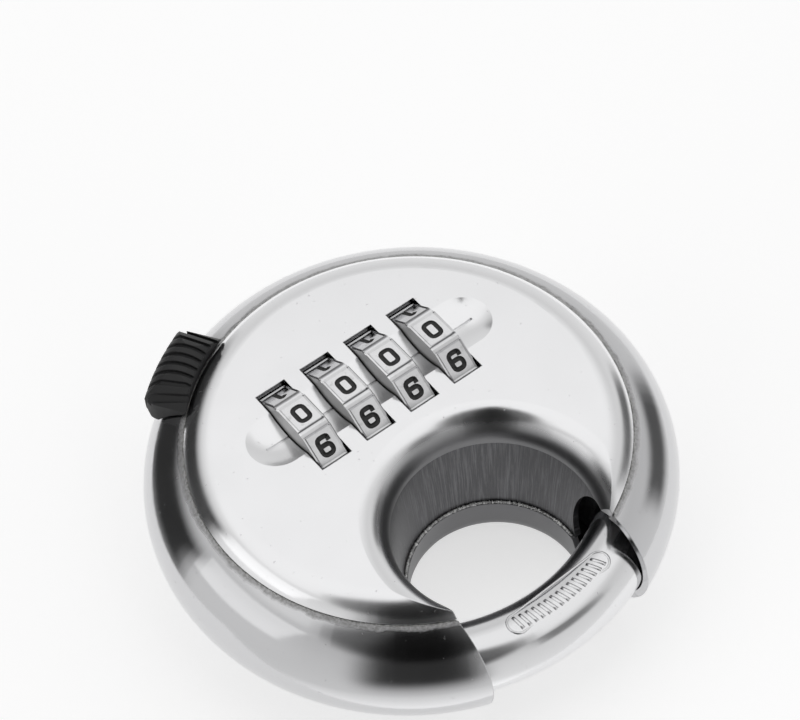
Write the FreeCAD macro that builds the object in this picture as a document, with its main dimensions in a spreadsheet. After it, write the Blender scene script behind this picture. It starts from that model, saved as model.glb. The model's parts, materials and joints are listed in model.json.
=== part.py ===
"""Disc padlock with four combination dials, a thumb slider and a swinging shackle.

Frame: the origin is the centre of the flat rear face, +Z points out of the dialled face, the dial
row runs along X and the shackle's gap is on the -Y side. All lengths are millimetres.
"""

import FreeCAD, Part
import Sketcher
import math
import os

DRIVING = {
    # cutting tools
    "tool_reach": 20.0,
    "overrun": 1.0,
    "plug_overrun": 4.0,
    "joint_overlap": 0.5,
    # casing
    "outer_radius": 35.0,
    "rim_bend": 9.3,
    "sheet_gauge": 0.9,
    "middle_height": 11.0,
    "plateau_rise": 10.9,
    "plateau_radius": 25.0,
    "valley_radius": 28.9,
    "cover_edge_radius": 28.75,
    "cover_edge_rise": 8.85,
    "cover_overrun": 1.25,
    "weld_flange_radius": 25.2,
    "weld_flange_rise": 8.2,
    "joggle_run": 0.5,
    "kink_run": 0.4,
    "parting_drop": 4.8,
    "fit_gap": 0.05,
    # throat, the hole that a hasp goes through
    "throat_offset": 17.7,
    "throat_radius": 11.9,
    "rear_throat_radius": 11.4,
    "crease_radius": 13.2,
    "crease_rise": 6.6,
    "flare_roll": 4.35,
    "rear_flare_roll": 2.6,
    "rear_flare_drop": 8.45,
    "notch_radius": 8.5,
    "notch_offset": 26.8,
    "notch_drop": 0.5,
    "notch_reach": 15.0,
    # gap that the shackle closes
    "gap_left": 12.5,
    "gap_left_taper": 0.0,
    "gap_right": 11.5,
    "gap_right_taper": 0.1,
    "gap_reference": 24.0,
    "core_setback": 3.6,
    # shackle and its swing
    "shackle_ring": 29.4,
    "shackle_bar": 4.58,
    "groove_bar": 4.68,
    "tail_angle": 106.0,
    "shackle_sweep": 202.0,
    "swing": 60.0,
    "ramp_depth": 1.23,
    "ramp_sweep": 41.0,
    "ramp_overrun": 3.0,
    # slider
    "grip_middle": 123.6,
    "grip_sweep": 30.0,
    "grip_end_sweep": 4.4,
    "grip_gap": 0.25,
    "grip_half_length": 6.25,
    "grip_corner": 2.6,
    "grip_top_rise": 12.4,
    "grip_top_roll": 8.2,
    "grip_foot_rise": 6.32,
    "grip_foot_radius": 34.35,
    "grip_nose_radius": 34.9,
    "grip_nose_rise": 7.4,
    "grip_nose_roll": 4.4,
    "grip_shoulder_radius": 33.4,
    "grip_shoulder_rise": 11.0,
    "grip_crown_roll": 3.9,
    "grip_side_radius": 28.95,
    "grip_lip_radius": 28.55,
    "grip_lip_low_rise": 9.8,
    "grip_lip_rise": 11.4,
    "rib_depth": 0.4,
    "rib_count": 7,
    "rib_step": 2.7,
    "rib_sweep": 1.5,
    "arm_middle": 120.3,
    "arm_sweep": 9.4,
    "arm_gauge": 1.2,
    "arm_half_height": 1.9,
    "arm_top_rise": 6.3,
    "seat_radius": 33.15,
    "seat_play": 0.1,
    "slot_half_height": 2.3,
    "slot_margin": 2.2,
    "slider_screw_radius": 0.7,
    "slider_screw_play": 0.02,
    "slider_screw_tip": 30.6,
    "slider_screw_spread": 2.3,
    "slider_screw_sink": 0.1,
    "slider_head_radius": 1.25,
    "slider_head_gauge": 0.6,
    "slider_slot_width": 0.35,
    "slider_slot_depth": 0.25,
    "shield_sweep": 53.0,
    "shield_overlap": 5.0,
    "shield_radius": 33.45,
    "shield_gauge": 0.8,
    "shield_half_height": 2.7,
    "shield_play": 0.2,
    "track_overrun": 2.0,
    # dials
    "dial_pitch": 7.03,
    "dial_row_offset": 8.1,
    "dial_axis_rise": 4.6,
    "dial_flat_radius": 8.55,
    "dial_corner_radius": 8.85,
    "dial_width": 4.2,
    "dial_play": 0.03,
    "key_half_width": 0.7,
    "key_low": 4.0,
    "key_high": 5.2,
    "keyway_run": 0.2,
    "window_width": 4.6,
    "window_length": 14.6,
    "window_offset": 8.0,
    "groove_half_width": 4.0,
    "groove_depth": 0.9,
    "groove_half_span": 15.0,
    "groove_shift": 0.4,
    "index_line_width": 0.3,
    "index_line_depth": 0.2,
    "index_line_overrun": 1.6,
    # gate sleeves
    "hub_radius": 4.95,
    "neck_radius": 3.2,
    "gate_disc_radius": 4.35,
    "gate_disc_width": 1.0,
    "gate_disc_shift": 3.45,
    "gate_floor": 3.3,
    "gate_half_height": 1.15,
    "gate_side": 0.5,
    # axle
    "axle_radius": 1.6,
    "axle_left": 16.0,
    "axle_bore_half_span": 18.2,
    "axle_tip_radius": 1.1,
    "axle_tip_left": 17.9,
    "axle_spring_radius": 1.55,
    "axle_spring_pitch": 0.62,
    "axle_spring_length": 2.5,
    "axle_spring_left": 19.2,
    "axle_spring_room_radius": 2.6,
    "axle_spring_room_left": 19.6,
    "axle_spring_room_right": 16.2,
    "yoke_gap": 0.75,
    "yoke_right": 0.5,
    "yoke_near": 1.8,
    "yoke_far": 2.6,
    "yoke_low_rise": 2.2,
    "yoke_half_height": 1.6,
    "yoke_slot_near": 0.2,
    "yoke_slot_far": 2.1,
    "yoke_slot_rise": 6.0,
    "yoke_travel": 2.1,
    "yoke_play": 0.5,
    # clicking leaves under the dials
    "leaf_gauge": 0.25,
    "leaf_width": 3.2,
    "leaf_half_length": 5.2,
    "leaf_end_slope": 0.1,
    "leaf_crest_gap": 0.12,
    "leaf_foot_gap": 0.02,
    # locking fence
    "fence_travel": 1.8,
    "fence_gauge": 1.8,
    "fence_back_offset": 19.2,
    "fence_half_span": 11.4,
    "fence_low_drop": 5.2,
    "fence_top_rise": 6.2,
    "fence_play": 0.4,
    "fin_width": 1.1,
    "fin_half_height": 1.0,
    "fin_tip_gap": 0.1,
    "nose_tip_offset": 26.3,
    "nose_half_width": 1.6,
    "nose_half_height": 1.4,
    "nose_play": 0.15,
    "fence_spring_radius": 1.0,
    "fence_spring_drop": 3.9,
    "fence_spring_turns": 5.0,
    "spring_wire": 0.4,
    # code-change screw
    "reset_offset": 18.0,
    "reset_head_radius": 3.0,
    "reset_head_low": 0.1,
    "reset_head_top": 2.5,
    "reset_shank_radius": 2.2,
    "reset_shank_rise": 1.3,
    "reset_pin_radius": 0.6,
    "reset_pin_play": 0.08,
    "reset_pin_low_rise": 0.8,
    "reset_pin_length": 4.2,
    "reset_throw": 1.13,
    "reset_slot_half_width": 0.5,
    "reset_slot_top": 1.1,
    "cam_room_rise": 3.0,
    # die-cast core
    "core_throat_radius": 16.5,
    "core_edge_gap": 0.4,
    "core_shoulder_run": 2.6,
    "pocket_left": 13.4,
    "pocket_right": 15.1,
    "pocket_near": 1.6,
    "pocket_far": 17.8,
    "pocket_drop": 8.0,
    "spring_rib_half_span": 10.0,
    "spring_rib_near": 13.8,
    "spring_rib_far": 14.6,
    "spring_rib_drop": 2.6,
    "core_screw_radius": 1.25,
    "core_screw_head_radius": 2.2,
    "core_screw_head_play": 0.1,
    "core_screw_low": 4.4,
    "core_screw_floor": 4.0,
    "core_screw_seat_rise": 7.0,
    "core_screw_top_rise": 8.6,
    "core_screw_slot_half_width": 0.25,
    "core_screw_slot_depth": 0.6,
}

DIAL_COUNT = 4
FACETS = 10
CORE_SCREWS = ((-15.8, 15.8), (15.8, 15.8), (-21.0, -4.0), (21.0, -4.0))

doc = FreeCAD.newDocument("disc_padlock")
sheet = doc.addObject("Spreadsheet::Sheet", "dims")
nodes = []


class Dim:
    """A length or angle together with the sheet expression it is worked out by."""

    def __init__(self, value, text):
        self.value = value
        self.text = text

    def __add__(self, other):
        other = as_dim(other)
        return Dim(self.value + other.value, f"({self.text} + {other.text})")

    def __sub__(self, other):
        other = as_dim(other)
        return Dim(self.value - other.value, f"({self.text} - {other.text})")

    def __mul__(self, other):
        other = as_dim(other)
        return Dim(self.value * other.value, f"({self.text} * {other.text})")

    def __truediv__(self, other):
        other = as_dim(other)
        return Dim(self.value / other.value, f"({self.text} / {other.text})")

    def __neg__(self):
        return Dim(-self.value, f"(0 - {self.text})")

    __radd__ = __add__
    __rmul__ = __mul__

    def __rsub__(self, other):
        return as_dim(other) - self


def as_dim(value):
    return value if isinstance(value, Dim) else Dim(float(value), f"({float(value):.6f})")


def root(dim):
    return Dim(math.sqrt(dim.value), f"sqrt({dim.text})")


def fill_sheet():
    """Write the driving dimensions and return them by name."""
    values = {}
    for row, (name, value) in enumerate(DRIVING.items(), start=1):
        sheet.set(f"A{row}", name)
        sheet.set(f"B{row}", str(value))
        sheet.setAlias(f"B{row}", name)
        values[name] = Dim(float(value), f"dims.{name}")
    doc.recompute()
    return values


d = fill_sheet()
mid = d["middle_height"]
zero = as_dim(0)


def bind(obj, **properties):
    """Bind each named property to its dimension; double underscores stand for dots."""
    for name, dim in properties.items():
        obj.setExpression(name.replace("__", "."), as_dim(dim).text)
    return obj


def place(obj, x=0, y=0, z=0, rotation=None):
    if rotation is not None:
        obj.Placement = FreeCAD.Placement(FreeCAD.Vector(), rotation)
    return bind(obj, Placement__Base__x=x, Placement__Base__y=y, Placement__Base__z=z)


def turn(axis, degrees):
    return FreeCAD.Rotation(FreeCAD.Vector(*axis), degrees)


ALONG_X = turn((0, 1, 0), 90)
ALONG_Y = turn((1, 0, 0), -90)


def node(obj, label):
    """Name a finished sub-part; its label is the name of its file."""
    obj.Label = label
    nodes.append(obj)
    return obj


def box(name, x, y, z):
    """A block between two values on each axis."""
    obj = doc.addObject("Part::Box", name)
    (x0, x1), (y0, y1), (z0, z1) = x, y, z
    bind(obj, Length=x1 - as_dim(x0), Width=y1 - as_dim(y0), Height=z1 - as_dim(z0))
    return place(obj, x0, y0, z0)


def cylinder(name, radius, length, x=0, y=0, z=0, rotation=None):
    obj = doc.addObject("Part::Cylinder", name)
    bind(obj, Radius=radius, Height=length)
    return place(obj, x, y, z, rotation)


def radial_cylinder(name, radius, low, high, degrees, z):
    """A round bar on a ray from the disc's axis, between two radii."""
    obj = doc.addObject("Part::Cylinder", name)
    bind(obj, Radius=radius, Height=high - as_dim(low))
    ray = turn((0, 0, 1), degrees).multiply(ALONG_X)
    angle = math.radians(degrees)
    return place(obj, low * as_dim(math.cos(angle)), low * as_dim(math.sin(angle)), z, ray)


def sphere(name, radius, x, y, z):
    obj = doc.addObject("Part::Sphere", name)
    bind(obj, Radius=radius)
    return place(obj, x, y, z)


def cut(name, base, *tools):
    """The base less each tool in turn."""
    for number, tool in enumerate(tools):
        result = doc.addObject("Part::Cut", f"{name}_{number}")
        result.Base = base
        result.Tool = tool
        base = result
    return base


def fuse(name, *shapes):
    result = doc.addObject("Part::MultiFuse", name)
    result.Shapes = list(shapes)
    return result


def common(name, *shapes):
    result = doc.addObject("Part::MultiCommon", name)
    result.Shapes = list(shapes)
    return result


def arc_between(start, end, radius, left):
    """The arc of a circle between two points, with its centre left or right of the way there."""
    middle = (start + end) * 0.5
    along = end - start
    half = along.Length / 2
    normal = FreeCAD.Vector(-along.y, along.x, 0).normalize()
    offset = math.sqrt(max(radius * radius - half * half, 0))
    centre = middle + normal * (offset if left else -offset)
    circle = Part.Circle(centre, FreeCAD.Vector(0, 0, 1), radius)
    first, last = (start, end) if left else (end, start)
    return Part.ArcOfCircle(circle, circle.parameter(first), circle.parameter(last))


def sketch_on(body, plane, points, arcs=None):
    """A closed profile whose corners and arc radii are bound to the sheet.

    points are (across, up) pairs of dimensions, and arcs gives (radius, left) for the edges,
    numbered by their first point, that are arcs.
    """
    arcs = arcs or {}
    sketch = body.newObject("Sketcher::SketchObject", f"{body.Name}_profile")
    origin_plane = next(f for f in body.Origin.OriginFeatures if f.Role == plane)
    sketch.AttachmentSupport = [(origin_plane, "")]
    sketch.MapMode = "FlatFace"
    corners = [FreeCAD.Vector(as_dim(a).value, as_dim(b).value, 0) for a, b in points]
    count = len(points)
    ends = []
    for i in range(count):
        start, end = corners[i], corners[(i + 1) % count]
        if i in arcs:
            radius, left = arcs[i]
            sketch.addGeometry(arc_between(start, end, radius.value, left), False)
            ends.append((1, 2) if left else (2, 1))
        else:
            sketch.addGeometry(Part.LineSegment(start, end), False)
            ends.append((1, 2))
    for i in range(count):
        following = (i + 1) % count
        sketch.addConstraint(
            Sketcher.Constraint("Coincident", i, ends[i][1], following, ends[following][0])
        )
    for i, (across, up) in enumerate(points):
        for kind, dim in (("DistanceX", as_dim(across)), ("DistanceY", as_dim(up))):
            number = sketch.addConstraint(
                Sketcher.Constraint(kind, -1, 1, i, ends[i][0], dim.value)
            )
            sketch.setExpression(f"Constraints[{number}]", dim.text)
    for i, (radius, _) in arcs.items():
        number = sketch.addConstraint(Sketcher.Constraint("Radius", i, radius.value))
        sketch.setExpression(f"Constraints[{number}]", radius.text)
    return sketch


def revolved(name, points, arcs=None, sweep=None, middle=0, y=0):
    """A body turned about the disc's axis, or a parallel one at y: a whole turn, or a sector."""
    body = doc.addObject("PartDesign::Body", name)
    sketch = sketch_on(body, "XZ_Plane", points, arcs)
    feature = body.newObject("PartDesign::Revolution", f"{name}_turn")
    feature.Profile = sketch
    feature.ReferenceAxis = (sketch, ["V_Axis"])
    if sweep is None:
        feature.Angle = 360
    else:
        feature.Midplane = True
        bind(feature, Angle=sweep)
        body.Placement = FreeCAD.Placement(FreeCAD.Vector(), turn((0, 0, 1), middle))
    bind(body, Placement__Base__y=y)
    return body


def padded(name, plane, points, length, arcs=None, x=0, z=0):
    """A body raised from a flat profile, to both sides of its plane."""
    body = doc.addObject("PartDesign::Body", name)
    sketch = sketch_on(body, plane, points, arcs)
    feature = body.newObject("PartDesign::Pad", f"{name}_pad")
    feature.Profile = sketch
    feature.Midplane = True
    bind(feature, Length=length)
    return bind(body, Placement__Base__x=x, Placement__Base__z=z)


def coil(name, radius, wire, pitch, length, base, direction):
    """A compression spring: a round wire along a helix."""
    helix = Part.makeHelix(pitch, length, radius)
    start = FreeCAD.Vector(radius, 0, 0)
    section = Part.Wire(Part.makeCircle(wire / 2, start, FreeCAD.Vector(0, 1, 0)))
    obj = doc.addObject("Part::Feature", name)
    obj.Shape = Part.Wire(helix.Edges).makePipeShell([section], True, True)
    obj.Placement = FreeCAD.Placement(FreeCAD.Vector(*base), direction)
    return obj


# Lines of the rim's section, heights from the shackle's plane -----------------------------------

rim_centre = d["outer_radius"] - d["rim_bend"]
inner_bend = d["rim_bend"] - d["sheet_gauge"]
core_bend = inner_bend - d["fit_gap"]
throat_y = -d["throat_offset"]
TOP = mid + d["tool_reach"]
BOTTOM = mid - d["tool_reach"]
through = d["tool_reach"] * 2


def on_rim(bend, rise):
    """How far from the axis a rim circle stands at a height from the shackle's plane."""
    return rim_centre + root(bend * bend - rise * rise)


def rim_rise(bend, radius):
    """The height of a rim circle at a distance from the axis."""
    run = radius - rim_centre
    return root(bend * bend - run * run)


def edge_arc(edge_radius, edge_rise, plateau_rise):
    """Radius of the roll that leaves a flat plateau smoothly and ends at an edge."""
    run = edge_radius - d["plateau_radius"]
    drop = plateau_rise - edge_rise
    return (run * run + drop * drop) / (2 * drop)


# Cutting tools shared by several sub-parts ------------------------------------------------------


def flare_plug(name, wall, roll, centre_radius, centre_rise, face_rise, sign):
    """The hole of the throat: a round wall that flares out to a flat face.

    sign is 1 for the dialled face and -1 for the rear one, and the rises are from the shackle's
    plane towards that face.
    """
    height = face_rise - centre_rise
    crossing = centre_radius - root(roll * roll - height * height)
    near, far = -d["plug_overrun"], face_rise + d["plug_overrun"]
    points = [(zero, near), (wall, near), (wall, centre_rise), (crossing, face_rise)]
    points += [(crossing + d["overrun"], far), (zero, far)]
    return revolved(
        name,
        [(radius, mid + sign * rise) for radius, rise in points],
        {2: (roll, sign < 0)},
        y=throat_y,
    )


def front_plug(name, gauge):
    centre = d["crease_radius"] + d["flare_roll"]
    wall = d["crease_radius"] + gauge
    return flare_plug(
        name, wall, d["flare_roll"] - gauge, centre, d["crease_rise"], d["plateau_rise"] - gauge, 1
    )


def rear_plug(name, gauge):
    centre = d["rear_throat_radius"] + d["rear_flare_roll"]
    wall = d["rear_throat_radius"] + gauge
    roll = d["rear_flare_roll"] - gauge
    return flare_plug(name, wall, roll, centre, d["rear_flare_drop"], mid - gauge, -1)


def gap_wedge(name, setback):
    """The gap between the casing's two tips, each cut at its own slant."""
    ends = (throat_y, -(d["outer_radius"] + d["plug_overrun"]))

    def side(width, taper, y):
        return width + taper * (-y - d["gap_reference"]) + setback

    left = [(-side(d["gap_left"], d["gap_left_taper"], y), y) for y in ends]
    right = [(side(d["gap_right"], d["gap_right_taper"], y), y) for y in reversed(ends)]
    return padded(name, "XY_Plane", left + right, through, z=mid)


def tip_notch():
    """The round notch that lets the bar through the throat's wall."""
    reach = cylinder("notch_reach", d["notch_reach"], through, y=throat_y, z=BOTTOM)
    bar = cylinder(
        "notch_bar",
        d["notch_radius"],
        through,
        x=-d["tool_reach"],
        y=-d["notch_offset"],
        z=mid - d["notch_drop"],
        rotation=ALONG_X,
    )
    return common("tip_notch", reach, bar)


gap = gap_wedge("gap_wedge", zero)
core_gap = gap_wedge("core_gap_wedge", d["core_setback"])
notch = tip_notch()
front_hole = front_plug("front_hole", zero)
front_hole_inner = front_plug("front_hole_inner", d["sheet_gauge"])
rear_hole = rear_plug("rear_hole", zero)
rear_hole_inner = rear_plug("rear_hole_inner", d["sheet_gauge"])


# Casing -----------------------------------------------------------------------------------------


def dial_x(number):
    return as_dim(number - (DIAL_COUNT - 1) / 2) * d["dial_pitch"]


def scoop(name, extra):
    """The shallow round-ended channel that the dials stand in, as the tool that presses it."""
    half = d["groove_half_width"]
    depth = d["groove_depth"]
    radius = (half * half + depth * depth) / (2 * depth)
    height = mid + d["plateau_rise"] - depth + radius
    left = d["groove_shift"] - d["groove_half_span"]
    right = d["groove_shift"] + d["groove_half_span"]
    y = d["dial_row_offset"]
    bar = cylinder(
        f"{name}_bar", radius + extra, right - left, x=left, y=y, z=height, rotation=ALONG_X
    )
    start = sphere(f"{name}_start", radius + extra, left, y, height)
    end = sphere(f"{name}_end", radius + extra, right, y, height)
    return fuse(name, bar, start, end)


def windows(name, margin):
    """The four openings that the dials stand through."""
    half_x = d["window_width"] / 2 + margin
    half_y = d["window_length"] / 2 + margin
    y = d["window_offset"]
    boxes = []
    for i in range(DIAL_COUNT):
        x = dial_x(i)
        boxes.append(
            box(f"{name}_{i}", (x - half_x, x + half_x), (y - half_y, y + half_y), (mid, TOP))
        )
    return fuse(name, *boxes)


def cover_block(name, gauge, floor):
    """The cover as a solid down to a floor: its outer surface, or its inner one."""
    plateau = d["plateau_rise"] - gauge
    roll = edge_arc(d["cover_edge_radius"], d["cover_edge_rise"], d["plateau_rise"])
    centre_rise = d["plateau_rise"] - roll
    across = (d["cover_edge_radius"] - d["plateau_radius"]) / roll
    up = (d["cover_edge_rise"] - centre_rise) / roll
    inner = roll - gauge
    end = (d["plateau_radius"] + inner * across, centre_rise + inner * up)
    if gauge is zero:
        points = [(zero, floor), (end[0], floor), end]
    else:
        side = d["cover_edge_radius"] + d["cover_overrun"]
        side_rise = centre_rise + (side - d["plateau_radius"]) * up / across
        points = [(zero, floor), (side, floor), (side, side_rise), end]
    arc_start = len(points) - 1
    points += [(d["plateau_radius"], plateau), (zero, plateau)]
    return revolved(name, [(r, mid + rise) for r, rise in points], {arc_start: (inner, True)})


def make_front_cover():
    outer = cut("cover_outer_open", cover_block("cover_outer", zero, d["crease_rise"]), front_hole)
    outer = cut("cover_outer_scooped", outer, scoop("cover_scoop", zero))
    inner_floor = d["crease_rise"] - d["overrun"]
    inner_block = cover_block("cover_inner", d["sheet_gauge"], inner_floor)
    inner = cut("cover_inner_open", inner_block, front_hole_inner)
    inner = cut("cover_inner_scooped", inner, scoop("cover_scoop_inner", d["sheet_gauge"]))
    half_line = d["index_line_width"] / 2
    channel_floor = mid + d["plateau_rise"] - d["groove_depth"]
    line_half_span = d["groove_half_span"] + d["index_line_overrun"]
    line = box(
        "index_line",
        (d["groove_shift"] - line_half_span, d["groove_shift"] + line_half_span),
        (d["dial_row_offset"] - half_line, d["dial_row_offset"] + half_line),
        (channel_floor - d["index_line_depth"], TOP),
    )
    sheet_metal = cut("cover_sheet", outer, inner)
    node(cut("cover", sheet_metal, windows("windows", zero), line, gap, notch), "front_cover")


def slot_tool():
    """The slot that the slider's neck runs along, with round ends."""
    half = d["slot_half_height"]
    low, high = d["seat_radius"] - d["overrun"], d["outer_radius"] + d["overrun"]
    first = d["arm_middle"] + d["arm_sweep"] / 2 + d["slot_margin"]
    last = d["arm_middle"] - d["arm_sweep"] / 2 - d["swing"] - d["slot_margin"]
    end_degrees = math.degrees(half.value / d["outer_radius"].value)
    sweep = first - last - 2 * end_degrees
    middle = (first.value + last.value) / 2
    corners = [(low, mid - half), (high, mid - half), (high, mid + half), (low, mid + half)]
    track = revolved("slot_track", corners, sweep=sweep, middle=middle)
    ends = [
        radial_cylinder(f"slot_end_{i}", half, low, high, degrees, mid)
        for i, degrees in enumerate((first.value - end_degrees, last.value + end_degrees))
    ]
    return fuse("slot_tool", track, *ends)


def make_rim_shell():
    valley = rim_rise(d["rim_bend"], d["valley_radius"])
    drop = d["parting_drop"]
    top = d["weld_flange_rise"]
    under = top - d["sheet_gauge"]
    points = [
        (on_rim(d["rim_bend"], drop), -drop),
        (d["valley_radius"], valley),
        (d["valley_radius"] - d["joggle_run"], top),
        (d["weld_flange_radius"], top),
        (d["weld_flange_radius"], under),
        (on_rim(inner_bend, under), under),
        (on_rim(inner_bend, drop), -drop),
    ]
    arcs = {0: (d["rim_bend"], True), 5: (inner_bend, False)}
    ring = revolved("rim_ring", [(r, mid + rise) for r, rise in points], arcs)
    node(cut("rim", ring, front_hole_inner, slot_tool(), gap), "rim_shell")


def rear_block(name, gauge, top_drop):
    """The rear shell as a solid: its outer surface, or its inner one."""
    floor = mid - gauge
    bend = d["rim_bend"] - gauge
    drop = d["parting_drop"]
    valley_rise = rim_rise(d["rim_bend"], d["valley_radius"])
    roll = edge_arc(d["valley_radius"], valley_rise, mid)
    centre_rise = mid - roll
    across = (d["valley_radius"] - d["plateau_radius"]) / roll
    up = (valley_rise - centre_rise) / roll
    inner = roll - gauge
    end = (d["plateau_radius"] + inner * across, centre_rise + inner * up)
    wide = on_rim(bend, drop)
    kink, collar = [], []
    if gauge is not zero:
        kink_radius = d["valley_radius"] - d["kink_run"]
        kink = [(kink_radius, rim_rise(bend, kink_radius))]
        collar = [(wide, top_drop)]
    points = [(zero, floor), (d["plateau_radius"], floor), end, *kink]
    rim_start = len(points) - 1
    points += [(wide, drop), *collar, (zero, top_drop)]
    flipped = [(radius, mid - fall) for radius, fall in points]
    return revolved(name, flipped, {1: (inner, True), rim_start: (bend, True)})


def make_rear_shell():
    outer = cut("rear_outer_open", rear_block("rear_outer", zero, d["parting_drop"]), rear_hole)
    inner_block = rear_block("rear_inner", d["sheet_gauge"], d["parting_drop"] - d["overrun"])
    inner = cut("rear_inner_open", inner_block, rear_hole_inner)
    hole = cylinder(
        "reset_hole",
        d["reset_head_radius"] + d["fit_gap"],
        through,
        x=d["reset_offset"],
        y=d["dial_row_offset"],
        z=BOTTOM,
    )
    node(cut("rear", outer, inner, hole, notch, gap), "rear_shell")


def make_throat_sleeve():
    low, high = mid - d["parting_drop"], mid + d["crease_rise"]
    gauge = d["sheet_gauge"]
    points = [
        (d["throat_radius"], low),
        (d["throat_radius"] + gauge, low),
        (d["crease_radius"] + gauge, high),
        (d["crease_radius"], high),
    ]
    tube = revolved("sleeve_tube", points, y=throat_y)
    node(cut("sleeve", tube, notch, gap), "throat_sleeve")


# Core -------------------------------------------------------------------------------------------


def bar_groove(name, radius):
    obj = doc.addObject("Part::Torus", name)
    bind(obj, Radius1=d["shackle_ring"], Radius2=radius)
    return place(obj, z=mid)


def shield_track():
    """Room round the core for the dust shield and the slider's arm, over the whole swing."""
    overrun = d["track_overrun"].value
    first = d["arm_middle"].value + d["arm_sweep"].value / 2 + overrun
    last = d["tail_angle"].value - d["shield_sweep"].value - d["swing"].value - overrun
    low = d["shield_radius"] - d["shield_gauge"] - d["shield_play"]
    half_height = d["shield_half_height"] + d["shield_play"]
    high = d["outer_radius"] + d["overrun"]
    return sector_ring("shield_track", low, high, half_height, last, first - last)


def dial_pocket():
    """Room for the dials, their fence and the gate discs."""
    left, right = -d["pocket_left"], d["pocket_right"]
    far = d["pocket_far"]
    play = d["fence_play"]
    main = box("pocket_main", (left, right), (-d["pocket_near"], far), (mid - d["pocket_drop"], TOP))
    near = far - d["overrun"]
    back = d["fence_back_offset"] + d["fence_gauge"] + play
    fence_side = d["fence_half_span"] + play
    top = mid + d["fence_top_rise"] + play
    floor = mid - d["fence_low_drop"] - play
    low = box("pocket_fence", (-fence_side, fence_side), (near, back), (floor, top))
    fins_floor = mid + d["dial_axis_rise"] - d["fin_half_height"] - play
    high = box("pocket_fins", (-fence_side, right), (near, back), (fins_floor, top))
    half = d["nose_half_width"] + d["nose_play"]
    tall = d["nose_half_height"] + d["nose_play"]
    nose_y = (back - d["overrun"], d["shackle_ring"])
    nose = box("pocket_nose", (-half, half), nose_y, (mid - tall, mid + tall))
    return fuse("dial_pocket", main, low, high, nose)


def axle_room():
    """The bores of the axle, and the room for its yoke and its spring."""
    y, z = d["dial_row_offset"], mid + d["dial_axis_rise"]
    half_span = d["axle_bore_half_span"]
    bore = cylinder(
        "axle_bore", d["axle_radius"] + d["fit_gap"], half_span * 2, -half_span, y, z, ALONG_X
    )
    room_left, room_right = d["axle_spring_room_left"], d["axle_spring_room_right"]
    room_radius = d["axle_spring_room_radius"]
    spring = cylinder(
        "axle_spring_room", room_radius, room_left - room_right, -room_left, y, z, ALONG_X
    )
    play = d["yoke_play"]
    yoke = box(
        "yoke_room",
        (d["pocket_right"] + d["yoke_gap"] / 2, d["reset_offset"] + d["yoke_right"] + d["yoke_travel"]),
        (y - d["yoke_near"] - play, y + d["yoke_far"] + play),
        (mid + d["yoke_low_rise"] - play, z + d["yoke_half_height"] + play),
    )
    return fuse("axle_room", bore, spring, yoke)


def screw_tools(name, radius, head_radius, low, high, head_low):
    """Four screws, or their holes, between two heights, with heads above."""
    shapes = []
    for i, (x, y) in enumerate(CORE_SCREWS):
        x, y = as_dim(x), as_dim(y)
        shank = cylinder(f"{name}_shank_{i}", radius, high - low, x, y, low)
        head = cylinder(f"{name}_head_{i}", head_radius, high - head_low, x, y, head_low)
        shapes.append(fuse(f"{name}_one_{i}", shank, head))
    return shapes


def core_screw_holes():
    radius = d["core_screw_radius"] + d["fit_gap"]
    head_radius = d["core_screw_head_radius"] + d["core_screw_head_play"]
    seat = mid + d["core_screw_seat_rise"]
    shapes = screw_tools("core_hole", radius, head_radius, d["core_screw_floor"], TOP, seat)
    return fuse("core_screw_holes", *shapes)


def make_core_front(shared):
    lid = mid + d["plateau_rise"] - d["sheet_gauge"] - d["fit_gap"]
    flange_side = d["weld_flange_radius"] - d["core_edge_gap"]
    under = d["weld_flange_rise"] - d["sheet_gauge"] - d["fit_gap"]
    points = [
        (zero, mid + d["fit_gap"]),
        (rim_centre + core_bend, mid + d["fit_gap"]),
        (on_rim(core_bend, under), mid + under),
        (flange_side, mid + under),
        (flange_side, lid),
        (zero, lid),
    ]
    block = revolved("core_front_block", points, {1: (core_bend, True)})
    flare = front_plug("core_flare", d["sheet_gauge"] + d["fit_gap"])
    scoop_room = scoop("core_scoop", d["sheet_gauge"] + d["fit_gap"])
    cam_room = cylinder(
        "cam_room",
        d["reset_shank_radius"] + d["fit_gap"],
        d["cam_room_rise"],
        d["reset_offset"],
        d["dial_row_offset"],
        mid,
    )
    node(cut("core_upper", block, *shared, flare, axle_room(), scoop_room, cam_room), "core_front")


def reset_bore():
    """The stepped hole of the code-change screw."""
    x, y = d["reset_offset"], d["dial_row_offset"]
    head_top = d["reset_head_top"] + d["fit_gap"]
    head = cylinder(
        "reset_bore_head", d["reset_head_radius"] + d["fit_gap"], head_top - BOTTOM, x, y, BOTTOM
    )
    shank = cylinder("reset_bore_shank", d["reset_shank_radius"] + d["fit_gap"], through, x, y, BOTTOM)
    return fuse("reset_bore", head, shank)


def make_core_rear(shared):
    floor_drop = mid - d["sheet_gauge"] - d["fit_gap"]
    shoulder = d["plateau_radius"] + d["core_shoulder_run"]
    points = [
        (zero, mid - floor_drop),
        (d["plateau_radius"] - d["core_edge_gap"], mid - floor_drop),
        (shoulder, mid - rim_rise(core_bend, shoulder)),
        (rim_centre + core_bend, mid),
        (zero, mid),
    ]
    block = revolved("core_rear_block", points, {2: (core_bend, True)})
    rib_half = d["spring_rib_half_span"]
    rib = box(
        "spring_rib",
        (-rib_half, rib_half),
        (d["spring_rib_near"], d["spring_rib_far"]),
        (mid - d["pocket_drop"] - d["joint_overlap"], mid - d["spring_rib_drop"]),
    )
    hollow = cut("core_lower", block, *shared, reset_bore())
    node(fuse("core_lower_ribbed", hollow, rib), "core_rear")


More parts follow.
